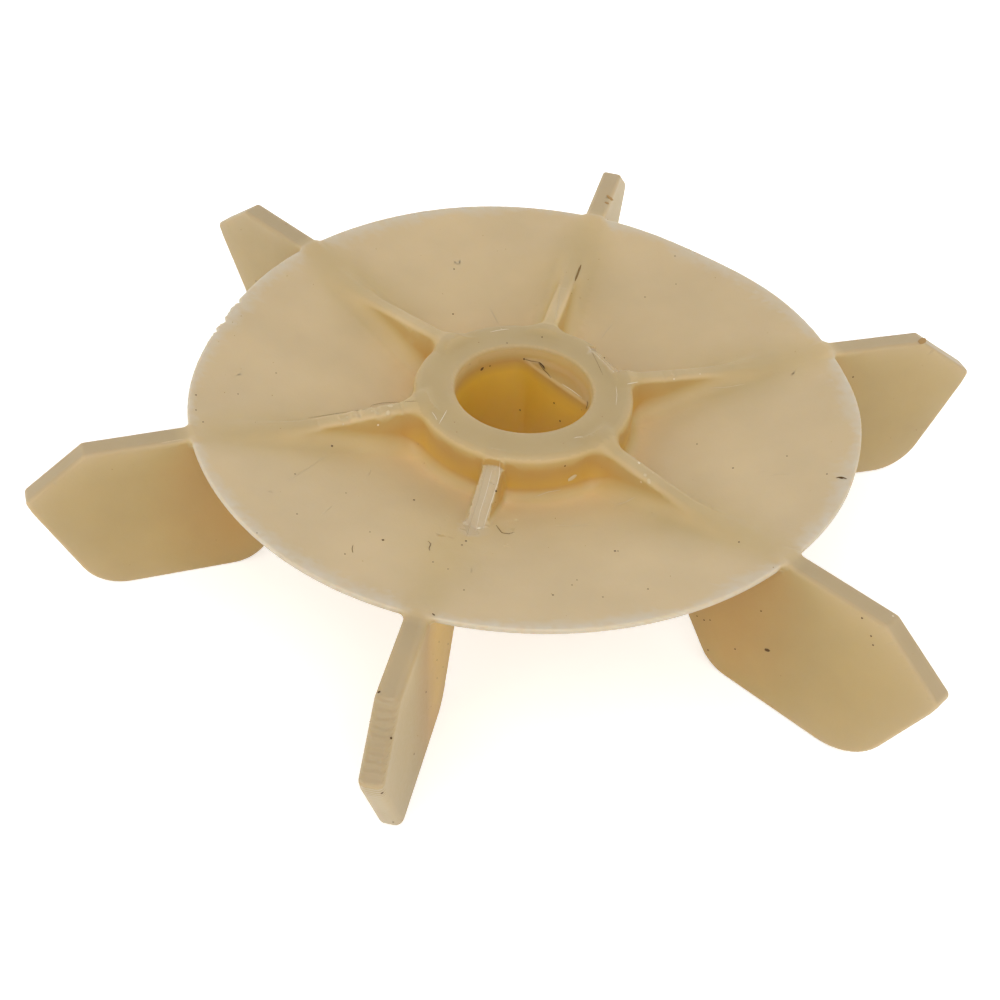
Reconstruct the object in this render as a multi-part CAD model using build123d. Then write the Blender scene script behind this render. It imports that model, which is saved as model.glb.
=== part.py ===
from build123d import *
from math import atan, cos, hypot, radians, sin
from typing import NamedTuple
import os

# Axial fan impeller for an electric motor, moulded in one piece: a shallow dished disc, a hub
# with a D-shaped bore through its middle, and flat radial blades that hang under the disc and
# reach out past its rim. Low ribs carry on the blades' lines over the dish to the hub.
# Millimetres, +Z up. The origin lies on the bore's axis, in the plane that the blades rest on.


class Blade(NamedTuple):
    """How one moulded blade and its rib depart from the even pattern."""

    swing: float  # degrees that it stands round from its even place
    shift: float  # sideways from its own radius, anticlockwise seen from above
    reach: float  # the tip and the lower corner stand this much further out
    lean: float  # degrees that its lower edge swings clockwise
    foot_round: float  # rounding of the lower corner at the tip
    rib_drop: float  # the rib's crest at the hub lies this far under the rim
    rib_runout: float  # radius at which the crest runs out into the dish


# The blades in turn, anticlockwise from the one on +X. The fifth was bent, and its rib was cut
# down with a knife
BLADES = (
    Blade(swing=-1.2, shift=0.0, reach=1.3, lean=2.7, foot_round=11.5, rib_drop=1.6, rib_runout=56),
    Blade(swing=-0.7, shift=-0.4, reach=0.3, lean=-1.0, foot_round=11.5, rib_drop=1.4, rib_runout=57),
    Blade(swing=-0.7, shift=-0.3, reach=-1.1, lean=5.4, foot_round=11.5, rib_drop=0.6, rib_runout=58),
    Blade(swing=1.7, shift=-1.3, reach=-1.6, lean=-0.1, foot_round=10.5, rib_drop=0.9, rib_runout=58),
    Blade(swing=1.4, shift=-4.9, reach=-3.6, lean=-1.4, foot_round=3.0, rib_drop=3.5, rib_runout=40),
    Blade(swing=0.5, shift=-1.4, reach=1.5, lean=2.4, foot_round=14.0, rib_drop=1.7, rib_runout=56),
)

# Blade outline in a radial plane: out along the top edge, down the shoulder to the tip, in under
# the tip to the bottom edge, and up the slanted inner edge to the disc
BLADE_T = 4.8
BLADE_DEPTH = 37.2
SHOULDER_R = 94.2
TIP_R = 107.9
TIP_DROP = 10.2
NOSE_R = 106.8
NOSE_DROP = 13.5
BOTTOM_OUTER_R = 96.0
BOTTOM_INNER_R = 61.2
INNER_TOP_R = 39.0
SHOULDER_ROUND = 1.0
TIP_ROUND = 1.4
INNER_FOOT_ROUND = 9.0
RIM_LAP = 1.0

# Disc: the upper face falls in a straight line from the rim to the hub
DISC_R = 72.0
DISH_DEPTH = 11.4
RIM_T = 1.4
ROOT_T = 3.4

# Hub
HUB_R = 24.0
HUB_DROP = 0.7
HUB_LENGTH = 30.0
HUB_TOP_ROUND = 2.0
HUB_BOTTOM_BEVEL = 1.0
HUB_FOOT_ROUND = 3.0

# Bore: round at its mouth, with a flat on one side below that
BORE_R = 15.0
FLAT_REACH = 10.4
FLAT_AZIMUTH = 26.0
MOUTH_DEPTH = 4.0

# Ribs: a drafted section with a flared foot that follows the dish
RIB_T = 3.6
RIB_DRAFT = 0.12
RIB_FLARE = 2.4

# Knife marks: a facet on the hub's top edge and nicks in the rim
FACET_AZIMUTH = 16.0
FACET_REACH = 20.8
FACET_SLOPE = 40.0
FACET_LENGTH = 11.0
NICK_AZIMUTHS = (141.0, 147.9, 151.3, 155.0)
NICK_R = 1.5
NICK_DEPTH = 0.8

# Derived places
BLADE_STEP = 360 / len(BLADES)
RIM_Z = BLADE_DEPTH
HUB_TOP_Z = RIM_Z - HUB_DROP
HUB_BOTTOM_Z = HUB_TOP_Z - HUB_LENGTH
DISH_SLOPE = DISH_DEPTH / (DISC_R - HUB_R)
OVERCUT = 1.0
FROM_BELOW = (Align.CENTER, Align.CENTER, Align.MIN)


def dish_z(radius):
    """Height of the dish's upper face at a radius."""
    return RIM_Z - DISH_SLOPE * (DISC_R - radius)


def middle_z(radius):
    """Height half way through the disc's wall at a radius."""
    wall = ROOT_T + (RIM_T - ROOT_T) * (radius - HUB_R) / (DISC_R - HUB_R)
    return dish_z(radius) - wall / 2


def rounded_face(corners):
    """A flat face from corners that are given as x, y and the rounding there."""
    face = make_face(Polyline(*[(x, y) for x, y, _ in corners], close=True))
    for x, y, radius in corners:
        if radius:
            face = fillet(face.vertices().sort_by_distance((x, y, 0))[0], radius)
    return face


def turned_body():
    """The disc and the hub, revolved as one profile and still without a bore."""
    root_z = dish_z(HUB_R)
    profile = rounded_face(
        (
            (0, HUB_BOTTOM_Z, 0),
            (HUB_R - HUB_BOTTOM_BEVEL, HUB_BOTTOM_Z, 0),
            (HUB_R, HUB_BOTTOM_Z + HUB_BOTTOM_BEVEL, 0),
            (HUB_R, root_z - ROOT_T, HUB_FOOT_ROUND),
            (DISC_R, RIM_Z - RIM_T, 0),
            (DISC_R, RIM_Z, 0),
            (HUB_R, root_z, HUB_FOOT_ROUND),
            (HUB_R, HUB_TOP_Z, HUB_TOP_ROUND),
            (0, HUB_TOP_Z, 0),
        )
    )
    return revolve(Plane.XZ * profile, Axis.Z)


def d_bore():
    """What the D-shaped bore takes out of the hub."""
    bore = Pos(Z=HUB_BOTTOM_Z - OVERCUT) * Cylinder(BORE_R, HUB_LENGTH + 2 * OVERCUT, align=FROM_BELOW)
    flat_length = HUB_LENGTH - MOUTH_DEPTH + 2 * OVERCUT
    flat = Box(BORE_R, 2 * BORE_R + OVERCUT, flat_length, align=(Align.MIN, Align.CENTER, Align.MIN))
    return bore - Rot(Z=FLAT_AZIMUTH) * Pos(X=FLAT_REACH, Z=HUB_BOTTOM_Z - 2 * OVERCUT) * flat


def blade(form):
    """One blade in the XZ plane, leaned about the rim's level and seated on the resting plane."""
    lap_r = DISC_R - RIM_LAP
    hidden_r = lap_r - 2 * RIM_T
    outline = rounded_face(
        (
            (lap_r, RIM_Z, 0),
            (SHOULDER_R + form.reach / 2, RIM_Z, SHOULDER_ROUND),
            (TIP_R + form.reach, RIM_Z - TIP_DROP, TIP_ROUND),
            (NOSE_R + form.reach, RIM_Z - NOSE_DROP, TIP_ROUND),
            (BOTTOM_OUTER_R + form.reach, RIM_Z - BLADE_DEPTH, form.foot_round),
            (BOTTOM_INNER_R, RIM_Z - BLADE_DEPTH, INNER_FOOT_ROUND),
            (INNER_TOP_R, middle_z(INNER_TOP_R), 0),
            (hidden_r, middle_z(hidden_r), 0),
        )
    )
    plate = extrude(Plane.XZ * outline, BLADE_T / 2, both=True)
    plate = Pos(Y=form.shift, Z=RIM_Z) * Rot(X=-form.lean) * Pos(Z=-RIM_Z) * plate
    return Pos(Z=-plate.bounding_box().min.Z) * plate


def rib(form):
    """One rib in the XZ plane: its section drawn along the dish, under the line of its crest."""
    start_r = HUB_R - HUB_TOP_ROUND
    tall = DISH_DEPTH + OVERCUT
    crest = RIB_T / 2
    side = crest + RIB_DRAFT * (tall - RIB_FLARE)
    half = [
        (crest, tall, 0),
        (side, RIB_FLARE, RIB_FLARE),
        (side + RIB_FLARE, 0, 0),
        (side + RIB_FLARE, -RIM_T / 2, 0),
    ]
    section = rounded_face([*half, *[(-x, y, radius) for x, y, radius in reversed(half)]])
    along = (cos(atan(DISH_SLOPE)), 0, sin(atan(DISH_SLOPE)))
    lie = Plane(origin=(0, 0, dish_z(0)), x_dir=(0, 1, 0), z_dir=along)
    bar = extrude(lie * section, hypot(form.rib_runout, dish_z(form.rib_runout) - dish_z(0)))

    crest_z = RIM_Z - form.rib_drop
    crest_slope = (dish_z(form.rib_runout) - crest_z) / (form.rib_runout - HUB_R)
    under_crest = make_face(
        Polyline(
            (start_r, crest_z - crest_slope * (HUB_R - start_r)),
            (form.rib_runout, dish_z(form.rib_runout)),
            (form.rib_runout, middle_z(form.rib_runout)),
            (start_r, middle_z(start_r)),
            close=True,
        )
    )
    return bar & extrude(Plane.XZ * under_crest, HUB_R, both=True)


def edge_facet():
    """What a knife took off the hub's top edge."""
    across, rise = cos(radians(FACET_AZIMUTH)), sin(radians(FACET_AZIMUTH))
    tilt = sin(radians(FACET_SLOPE))
    plane = Plane(
        origin=(FACET_REACH * across, FACET_REACH * rise, HUB_TOP_Z),
        x_dir=(-rise, across, 0),
        z_dir=(tilt * across, tilt * rise, cos(radians(FACET_SLOPE))),
    )
    return plane * Box(FACET_LENGTH, HUB_R, HUB_R / 2, align=FROM_BELOW)


def rim_nick(azimuth):
    """A shallow round nick in the rim."""
    cutter = Cylinder(NICK_R, 3 * RIM_T)
    return Rot(Z=azimuth) * Pos(X=DISC_R - NICK_DEPTH + NICK_R, Z=RIM_Z) * cutter


def impeller():
    """The whole moulding."""
    body = turned_body()
    for index, form in enumerate(BLADES):
        turn = Rot(Z=index * BLADE_STEP)
        body += turn * Rot(Z=form.swing) * blade(form)
        body += turn * rib(form)
    body -= d_bore()
    body -= edge_facet()
    for azimuth in NICK_AZIMUTHS:
        body -= rim_nick(azimuth)
    return body


if __name__ == "__main__":
    os.makedirs("parts", exist_ok=True)
    export_step(impeller(), "parts/impeller.step")
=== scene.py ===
# A moulded fan impeller and its studio. The moulding is one distance field in millimetres, so that
# every edge, foot and corner is as round as the mould made it. It is turned into a mesh, and
# marks, grit, scuffs, painted highlights, painted reflections and painted shade lines are laid on
# its skin.

import logging
import math
from dataclasses import dataclass, field
from enum import Enum
from typing import Any

import bpy
import numpy as np
import openvdb
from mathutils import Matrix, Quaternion, Vector
from mathutils.bvhtree import BVHTree

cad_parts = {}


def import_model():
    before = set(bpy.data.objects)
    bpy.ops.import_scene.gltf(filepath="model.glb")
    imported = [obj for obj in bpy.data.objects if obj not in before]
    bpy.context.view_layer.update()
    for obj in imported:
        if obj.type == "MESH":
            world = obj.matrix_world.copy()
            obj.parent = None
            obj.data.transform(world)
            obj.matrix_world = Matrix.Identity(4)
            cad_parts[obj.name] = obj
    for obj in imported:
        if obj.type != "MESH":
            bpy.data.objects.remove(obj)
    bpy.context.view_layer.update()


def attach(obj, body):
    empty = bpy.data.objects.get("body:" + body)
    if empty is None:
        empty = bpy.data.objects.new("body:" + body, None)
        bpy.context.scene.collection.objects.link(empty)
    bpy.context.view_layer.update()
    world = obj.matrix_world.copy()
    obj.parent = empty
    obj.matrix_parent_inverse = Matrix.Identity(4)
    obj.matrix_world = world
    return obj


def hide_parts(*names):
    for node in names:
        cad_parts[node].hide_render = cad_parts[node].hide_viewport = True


LOG = logging.getLogger("impeller")
MM = 0.001
TINY = 1e-12
FRAME = 1000  # the marks' places are counted across and down a frame of this size
NODE = "impeller"
BODY = "root"
Array = np.ndarray
Tree = bpy.types.NodeTree
Socket = bpy.types.NodeSocket
Piece = bpy.types.Object


def turned(places: Array, azimuth: float) -> tuple[Array, Array]:
    """Measures points along a direction and sideways from it.

    Args:
        places: Points, one a row.
        azimuth: The direction in degrees, from +X.

    Returns:
        How far each point lies along the direction, and how far to its left.
    """
    turn = math.radians(azimuth)
    along = places[:, 0] * math.cos(turn) + places[:, 1] * math.sin(turn)
    return along, places[:, 1] * math.cos(turn) - places[:, 0] * math.sin(turn)


def from_axis(places: Array) -> Array:
    """Distance of each point from the bore's axis."""
    return np.hypot(places[:, 0], places[:, 1])


def bearing(places: Array) -> Array:
    """Direction of each point from the bore's axis, in degrees."""
    return np.degrees(np.arctan2(places[:, 1], places[:, 0]))


def apart(azimuth: Array, other: float) -> Array:
    """Angles from a direction, between -180 and 180 degrees."""
    return (azimuth - other + 180) % 360 - 180


def add_object(name: str, data: Any) -> Piece:
    """Puts an object in the scene, at the origin and unturned.

    Args:
        name: The object's name.
        data: Its mesh, camera or light.

    Returns:
        The object.
    """
    piece = bpy.data.objects.new(name, data)
    bpy.context.scene.collection.objects.link(piece)
    return piece


# ---------------------------------------------------------------- distance fields


def round_union(first: Array, second: Array, radius: float) -> Array:
    """Joins two solids with a fillet.

    Args:
        first: Signed distances to the first solid, below zero inside it.
        second: Signed distances to the second solid.
        radius: Radius of the fillet between them.

    Returns:
        Signed distances to the joined solid.
    """
    corner = np.hypot(np.maximum(radius - first, 0), np.maximum(radius - second, 0))
    return np.maximum(radius, np.minimum(first, second)) - corner


def round_meet(first: Array, second: Array, radius: float) -> Array:
    """Keeps what two solids share and rounds the edge where their faces meet.

    Args:
        first: Signed distances to the first solid, below zero inside it.
        second: Signed distances to the second solid.
        radius: Radius of the rounded edge.

    Returns:
        Signed distances to the shared solid.
    """
    corner = np.hypot(np.maximum(first + radius, 0), np.maximum(second + radius, 0))
    return np.minimum(-radius, np.maximum(first, second)) + corner


def chatter(along: Array, pitch: float, phase: float = 0.0) -> Array:
    """An uneven wave between -1 and 1, such as a knife or a worn edge leaves.

    Args:
        along: Distance along the edge.
        pitch: Length of its longest wave.
        phase: Shift that makes one wave differ from another.

    Returns:
        The wave's height at each distance.
    """
    turn = 2 * math.pi * along / pitch
    waves = np.sin(turn + phase)
    waves = waves + 0.7 * np.sin(2.3 * turn + 2 * phase) + 0.5 * np.sin(5.1 * turn + 3 * phase)
    return waves / 2.2


class Ragged:
    """Smooth uneven heights between 0 and 1 over a plane, the same on every run."""

    SIDE = 64

    def __init__(self, seed: int) -> None:
        """Draws the table that the heights are read from."""
        self.table = np.random.default_rng(seed).random((self.SIDE, self.SIDE))

    def height(self, across: Array, along: Array) -> Array:
        """Reads the heights.

        Args:
            across: First coordinate, with one bump about every unit.
            along: Second coordinate, likewise.

        Returns:
            Heights between 0 and 1.
        """
        column, row = np.floor(across).astype(int), np.floor(along).astype(int)
        right, over = across - column, along - row
        right, over = right * right * (3 - 2 * right), over * over * (3 - 2 * over)
        corner = [
            self.table[(column + i) % self.SIDE, (row + j) % self.SIDE]
            for i, j in ((0, 0), (1, 0), (0, 1), (1, 1))
        ]
        lower = corner[0] * (1 - right) + corner[1] * right
        upper = corner[2] * (1 - right) + corner[3] * right
        return lower * (1 - over) + upper * over


class Outline:
    """A closed flat outline with rounded corners, kept as a table of signed distances."""

    STEP = 0.35
    MARGIN = 8.0
    ARC_POINTS = 10

    def __init__(self, corners: list[tuple[float, float, float]]) -> None:
        """Rounds the corners and fills the table.

        Args:
            corners: Each corner's two coordinates and the radius that rounds it.
        """
        path = self.rounded(corners)
        self.low = path.min(axis=0) - self.MARGIN
        high = path.max(axis=0) + self.MARGIN
        sides = [np.arange(start, end, self.STEP) for start, end in zip(self.low, high)]
        grid = np.stack(np.meshgrid(*sides, indexing="ij"), axis=-1)
        self.table = self.signed(grid.reshape(-1, 2), path).reshape(grid.shape[:2])

    def rounded(self, corners: list[tuple[float, float, float]]) -> Array:
        """Replaces each corner that has a radius by points on its arc.

        Args:
            corners: Each corner's two coordinates and its radius.

        Returns:
            The outline's points in order.
        """
        path: list[Array] = []
        places = [np.array(corner[:2]) for corner in corners]
        for index, place in enumerate(places):
            radius = corners[index][2]
            if not radius:
                path.append(place)
                continue
            back = places[index - 1] - place
            ahead = places[(index + 1) % len(places)] - place
            back, ahead = back / np.linalg.norm(back), ahead / np.linalg.norm(ahead)
            half = math.acos(float(np.clip(back @ ahead, -1, 1))) / 2
            middle = back + ahead
            centre = place + middle / np.linalg.norm(middle) * radius / math.sin(half)
            start = place + back * radius / math.tan(half) - centre
            end = place + ahead * radius / math.tan(half) - centre
            first = math.atan2(start[1], start[0])
            sweep = (math.atan2(end[1], end[0]) - first + math.pi) % (2 * math.pi) - math.pi
            for part in np.linspace(0, 1, self.ARC_POINTS):
                angle = first + sweep * part
                path.append(centre + radius * np.array([math.cos(angle), math.sin(angle)]))
        return np.array(path)

    @staticmethod
    def signed(points: Array, path: Array) -> Array:
        """Signed distance from points to a closed path.

        Args:
            points: The points, one a row.
            path: The path's corners, one a row.

        Returns:
            Distances, below zero inside the path.
        """
        nearest = np.full(len(points), np.inf)
        inside = np.zeros(len(points), dtype=bool)
        for start, end in zip(path, np.roll(path, -1, axis=0)):
            span = end - start
            offset = points - start
            share = np.clip(offset @ span / max(span @ span, TINY), 0, 1)
            nearest = np.minimum(nearest, np.linalg.norm(offset - share[:, None] * span, axis=1))
            crosses = (start[1] > points[:, 1]) != (end[1] > points[:, 1])
            rise = span[1] if abs(span[1]) > TINY else TINY
            reached = start[0] + span[0] * (points[:, 1] - start[1]) / rise
            inside ^= crosses & (points[:, 0] < reached)
        return np.where(inside, -nearest, nearest)

    def distance(self, across: Array, up: Array) -> Array:
        """Signed distance at any place, read between the table's entries.

        Args:
            across: First coordinate of each place.
            up: Second coordinate of each place.

        Returns:
            Distances, below zero inside the outline.
        """
        limits = np.array(self.table.shape) - 1.001
        column = np.clip((across - self.low[0]) / self.STEP, 0, limits[0])
        row = np.clip((up - self.low[1]) / self.STEP, 0, limits[1])
        left, under = column.astype(int), row.astype(int)
        right_share, over_share = column - left, row - under
        lower, upper = (
            self.table[left, level] * (1 - right_share) + self.table[left + 1, level] * right_share
            for level in (under, under + 1)
        )
        return lower * (1 - over_share) + upper * over_share


# ---------------------------------------------------------------- the moulding


@dataclass(frozen=True)
class Blade:
    """How one blade and its rib depart from the even pattern. Lengths in mm, angles in degrees."""

    swing: float  # stands round from its even place
    shift: float  # sideways from its own radius
    reach: float  # the tip and the lower corner stand this much further out
    lean: float
    foot_round: float
    rib_drop: float  # the rib's crest at the hub lies this far under the rim
    rib_runout: float  # radius at which the crest runs out into the dish
    rib_wear: float = 0.0  # share of the full chipping on the crest
    rib_shift: float = 0.0
    rib_foot: float = 3.6
    edge: float = 0.8


@dataclass(frozen=True)
class RimWave:
    """A stretch where the rim stands out or is worn back. Angles in degrees, change in mm."""

    azimuth: float
    width: float
    change: float


@dataclass(frozen=True)
class Nick:
    """A notch in the rim, with its azimuth in degrees and its radius and depth in mm."""

    azimuth: float
    radius: float
    depth: float


@dataclass
class Moulding:
    """The one-piece moulding: disc, hub, D-bore, blades and ribs. Lengths in mm."""

    blades: tuple[Blade, ...] = (
        Blade(-1.2, 0.0, 1.3, 2.7, 11.5, 1.6, 56, 0.6),
        Blade(-0.7, -0.4, 0.3, -1.0, 11.5, 1.4, 57, 0.2),
        Blade(-0.7, -0.3, -1.1, 5.4, 11.5, 0.6, 58, 0.15),
        Blade(1.7, -1.3, -1.6, -0.1, 10.5, 0.9, 58, 1.0),
        Blade(1.4, -4.9, -3.6, -1.4, 3.0, 1.6, 43, 0.0, -0.7, 0.9, 1.5),
        Blade(0.5, -1.4, 1.5, 2.4, 14.0, 1.7, 56, 0.3),
    )
    cut_rib: int = 4
    blade_t: float = 4.8
    blade_depth: float = 37.2
    shoulder_r: float = 94.2
    tip_r: float = 107.9
    tip_drop: float = 10.2
    nose_r: float = 106.8
    nose_drop: float = 13.5
    bottom_outer_r: float = 96.0
    bottom_inner_r: float = 61.2
    inner_top_r: float = 39.0
    shoulder_round: float = 1.0
    tip_round: float = 1.4
    inner_foot_round: float = 9.0
    rim_lap: float = 1.0
    blade_fillet: float = 1.2

    disc_r: float = 72.0
    dish_depth: float = 11.4
    rim_t: float = 1.4
    root_t: float = 3.4
    rim_edge: float = 0.5
    rim_waves: tuple[RimWave, ...] = (
        RimWave(35, 14, -1.1),
        RimWave(85, 22, 0.7),
        RimWave(148, 20, -1.6),
        RimWave(222, 20, 0.5),
        RimWave(318, 14, 0.5),
        RimWave(340, 12, 0.8),
    )
    nicks: tuple[Nick, ...] = (Nick(147.9, 1.3, 0.7), Nick(151.3, 0.9, 0.5), Nick(141.5, 0.8, 0.4))
    chatter_azimuth: float = 147.0
    chatter_width: float = 8.0
    chatter_height: float = 0.22
    chatter_pitch: float = 4.6
    chatter_phase: float = 0.7

    hub_r: float = 24.0
    hub_drop: float = 0.7
    hub_length: float = 30.0
    hub_top_round: float = 2.0
    hub_bottom_bevel: float = 1.0
    hub_foot_round: float = 3.0

    bore_r: float = 15.0
    flat_reach: float = 10.4
    flat_azimuth: float = 26.0
    mouth_depth: float = 4.0
    bore_edge: float = 0.9
    ledge_edge: float = 0.7
    bore_corner: float = 1.4

    rib_t: float = 3.6
    rib_draft: float = 0.12
    rib_edge: float = 1.1
    rib_lap: float = 1.5  # how far each rib reaches into the hub
    chip_mm: float = 1.3
    chip_stretch: float = 3.0
    chip_depth: float = 0.45
    chip_level: float = 0.62
    chip_next: float = 9.0  # moves the pattern on from rib to rib
    chip_aside: float = 20.0
    chip_fade_hub: float = 3.0
    chip_free_end: float = 8.0
    chip_fade_end: float = 10.0
    cut_drop: float = 3.2
    cut_slope: float = 0.33
    cut_length: float = 17.0
    cut_tilts: tuple[float, float] = (9.0, -26.0)
    cut_left: tuple[float, float] = (-2.2, -3.8)
    cut_right: tuple[float, float] = (1.25, 1.1)
    cut_ridge: tuple[float, float] = (0.3, -0.5)
    cut_floor: float = 0.03
    cut_lap: float = 1.0
    cut_nose: float = 1.5
    cut_gap: float = 0.2  # between the hub and where the knife went in
    cut_gentle: float = 0.9  # keeps the field's slope under 1 beside the cut's two faces
    cut_zone: tuple[float, float, float] = (-4.0, 3.0, 7.0)
    blade_zone: float = 16.0

    facet_azimuth: float = 16.0
    facet_reach: float = 20.8
    facet_slope: float = 40.0
    facet_length: float = 11.0
    facet_past: float = 1.5

    outlines: list[Outline] = field(default_factory=list)
    chips: Ragged = field(default_factory=lambda: Ragged(11))

    def __post_init__(self) -> None:
        """Works out the sloping faces and draws each blade's outline."""
        run = self.disc_r - self.hub_r
        self.rim_z = self.blade_depth
        self.hub_top = self.rim_z - self.hub_drop
        self.hub_bottom = self.hub_top - self.hub_length
        self.top_slope = self.dish_depth / run
        self.under_slope = (self.dish_depth + self.root_t - self.rim_t) / run
        self.even_step = 360 / len(self.blades)
        self.outlines = [Outline(self.blade_corners(blade)) for blade in self.blades]

    def dish_z(self, radius: Array | float) -> Array | float:
        """Height of the dish's upper face."""
        return self.rim_z - self.top_slope * (self.disc_r - radius)

    def under_z(self, radius: Array | float) -> Array | float:
        """Height of the disc's underside."""
        return self.rim_z - self.rim_t - self.under_slope * (self.disc_r - radius)

    def middle_z(self, radius: Array | float) -> Array | float:
        """Height half way through the disc."""
        return (self.dish_z(radius) + self.under_z(radius)) / 2

    def blade_corners(self, blade: Blade) -> list[tuple[float, float, float]]:
        """Corners of a blade's outline, as radius, height under the rim and rounding.

        Args:
            blade: The blade to draw.

        Returns:
            The corners in order.
        """
        lap_r = self.disc_r - self.rim_lap
        hidden_r = lap_r - 2 * self.rim_t
        return [
            (lap_r, 0.0, 0),
            (self.shoulder_r + blade.reach / 2, 0.0, self.shoulder_round),
            (self.tip_r + blade.reach, -self.tip_drop, self.tip_round),
            (self.nose_r + blade.reach, -self.nose_drop, self.tip_round),
            (self.bottom_outer_r + blade.reach, -self.blade_depth, blade.foot_round),
            (self.bottom_inner_r, -self.blade_depth, self.inner_foot_round),
            (self.inner_top_r, float(self.middle_z(self.inner_top_r)) - self.rim_z, 0),
            (hidden_r, float(self.middle_z(hidden_r)) - self.rim_z, 0),
        ]

    def rim_radius(self, azimuth: Array) -> Array:
        """Radius of the rim, with its waves, worn stretch and nicks.

        Args:
            azimuth: Direction of each place in degrees.

        Returns:
            The rim's radius in each direction.
        """
        radius = np.full_like(azimuth, self.disc_r)
        for wave in self.rim_waves:
            radius += wave.change * np.exp(-((apart(azimuth, wave.azimuth) / wave.width) ** 2))
        off = apart(azimuth, self.chatter_azimuth)
        along = np.radians(off) * self.disc_r
        worn = np.exp(-((off / self.chatter_width) ** 4))
        wave = chatter(along, self.chatter_pitch, self.chatter_phase)
        radius += self.chatter_height * worn * wave
        for nick in self.nicks:
            across = np.radians(apart(azimuth, nick.azimuth)) * self.disc_r
            radius -= nick.depth * np.sqrt(np.maximum(1 - (across / nick.radius) ** 2, 0))
        return radius

    def disc_and_hub(self, radius: Array, azimuth: Array, height: Array) -> Array:
        """Distance to the turned body: the dished disc joined to the hub.

        Args:
            radius: Distance from the bore's axis.
            azimuth: Direction from the axis in degrees.
            height: Height over the resting plane.

        Returns:
            Signed distances to the body, which has no bore yet.
        """
        top = (height - self.dish_z(radius)) * math.cos(math.atan(self.top_slope))
        under = (self.under_z(radius) - height) * math.cos(math.atan(self.under_slope))
        disc = round_meet(np.maximum(top, under), radius - self.rim_radius(azimuth), self.rim_edge)
        hub = round_meet(radius - self.hub_r, height - self.hub_top, self.hub_top_round)
        hub = round_meet(hub, self.hub_bottom - height, self.hub_bottom_bevel)
        return round_union(disc, hub, self.hub_foot_round)

    def chipping(self, index: int, out: Array, side: Array) -> Array:
        """Depth of the chips in a rib's crest.

        Args:
            index: Which rib, anticlockwise from +X.
            out: Distance along the rib's own radius.
            side: Distance sideways from the rib's middle.

        Returns:
            How far the crest is worn down at each place.
        """
        blade = self.blades[index]
        along = out / self.chip_mm + self.chip_next * index
        across = side / self.chip_mm / self.chip_stretch + self.chip_aside
        chip = self.chips.height(along, across) - self.chip_level
        left = np.clip((blade.rib_runout - self.chip_free_end - out) / self.chip_fade_end, 0, 1)
        off_hub = np.clip((out - self.hub_r) / self.chip_fade_hub, 0, 1) * left
        most = blade.rib_wear * self.chip_depth
        return most * np.maximum(chip, 0) / (1 - self.chip_level) * off_hub

    def rib(self, index: int, out: Array, side: Array, height: Array) -> Array:
        """Distance to one rib.

        Args:
            index: Which rib, anticlockwise from +X.
            out: Distance along the rib's own radius.
            side: Distance sideways from that radius.
            height: Height over the resting plane.

        Returns:
            Signed distances to the rib.
        """
        blade = self.blades[index]
        side = side - blade.rib_shift
        start = self.rim_z - blade.rib_drop
        slope = (self.dish_z(blade.rib_runout) - start) / (blade.rib_runout - self.hub_r)
        crest = start + slope * (out - self.hub_r) - self.chipping(index, out, side)
        half = self.rib_t / 2 + self.rib_draft * np.maximum(crest - height, 0)
        over = (height - crest) * math.cos(math.atan(slope))
        rib = round_meet(over, np.abs(side) - half, self.rib_edge)
        rib = np.maximum(rib, self.middle_z(out) - height)
        return np.maximum(rib, self.hub_r - self.rib_lap - out)

    def rib_axes(self, places: Array) -> tuple[Array, Array]:
        """Distance along the cut rib's radius and sideways from it."""
        return turned(places, self.even_step * self.cut_rib)

    def cut_share(self, out: Array) -> Array:
        """How far along the cut a place lies: 0 at the hub, 1 where the knife came out."""
        return np.clip((out - self.hub_r + self.cut_lap) / (self.cut_length + self.cut_lap), 0, 1)

    def cut_edges(self, out: Array, side: Array) -> Array:
        """Distance to the strip that the knife passed over.

        Args:
            out: Distance along the cut rib's radius.
            side: Distance sideways from that radius.

        Returns:
            Distances sideways, below zero inside the strip.
        """
        share = self.cut_share(out)
        left, right = (
            edge[0] + (edge[1] - edge[0]) * share for edge in (self.cut_left, self.cut_right)
        )
        past = np.maximum(out - self.hub_r - self.cut_length + self.cut_nose, 0)
        nose = np.hypot(past, side - (left + right) / 2)
        return np.maximum(np.maximum(left - side, side - right), nose - (right - left) / 2)

    def knife_z(self, out: Array, side: Array) -> Array:
        """Height of the two flat faces that a knife left on the cut rib.

        Args:
            out: Distance along the cut rib's radius.
            side: Distance sideways from that radius.

        Returns:
            Heights over the resting plane, never under the dish.
        """
        ridge = self.cut_ridge[0] + (self.cut_ridge[1] - self.cut_ridge[0]) * self.cut_share(out)
        fall = [(side - ridge) * math.tan(math.radians(tilt)) for tilt in self.cut_tilts]
        start = self.rim_z - self.cut_drop
        cut = start - self.cut_slope * (out - self.hub_r) + np.minimum(fall[0], fall[1])
        return np.maximum(cut, self.dish_z(out) + self.cut_floor)

    def plate(self, index: int, out: Array, side: Array, height: Array) -> Array:
        """Distance to one blade's plate, leaned about the rim's level.

        Args:
            index: Which blade, anticlockwise from +X.
            out: Distance along the blade's own radius.
            side: Distance sideways from that radius.
            height: Height over the resting plane.

        Returns:
            Signed distances to the plate.
        """
        blade = self.blades[index]
        lean = math.radians(blade.lean)
        lift = self.blade_depth * (math.cos(lean) - 1) + self.blade_t / 2 * abs(math.sin(lean))
        level, aside = height - self.rim_z - lift, side - blade.shift
        flat = np.abs(aside * math.cos(lean) - level * math.sin(lean)) - self.blade_t / 2
        up = aside * math.sin(lean) + level * math.cos(lean)
        return round_meet(self.outlines[index].distance(out, up), flat, blade.edge)

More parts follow.
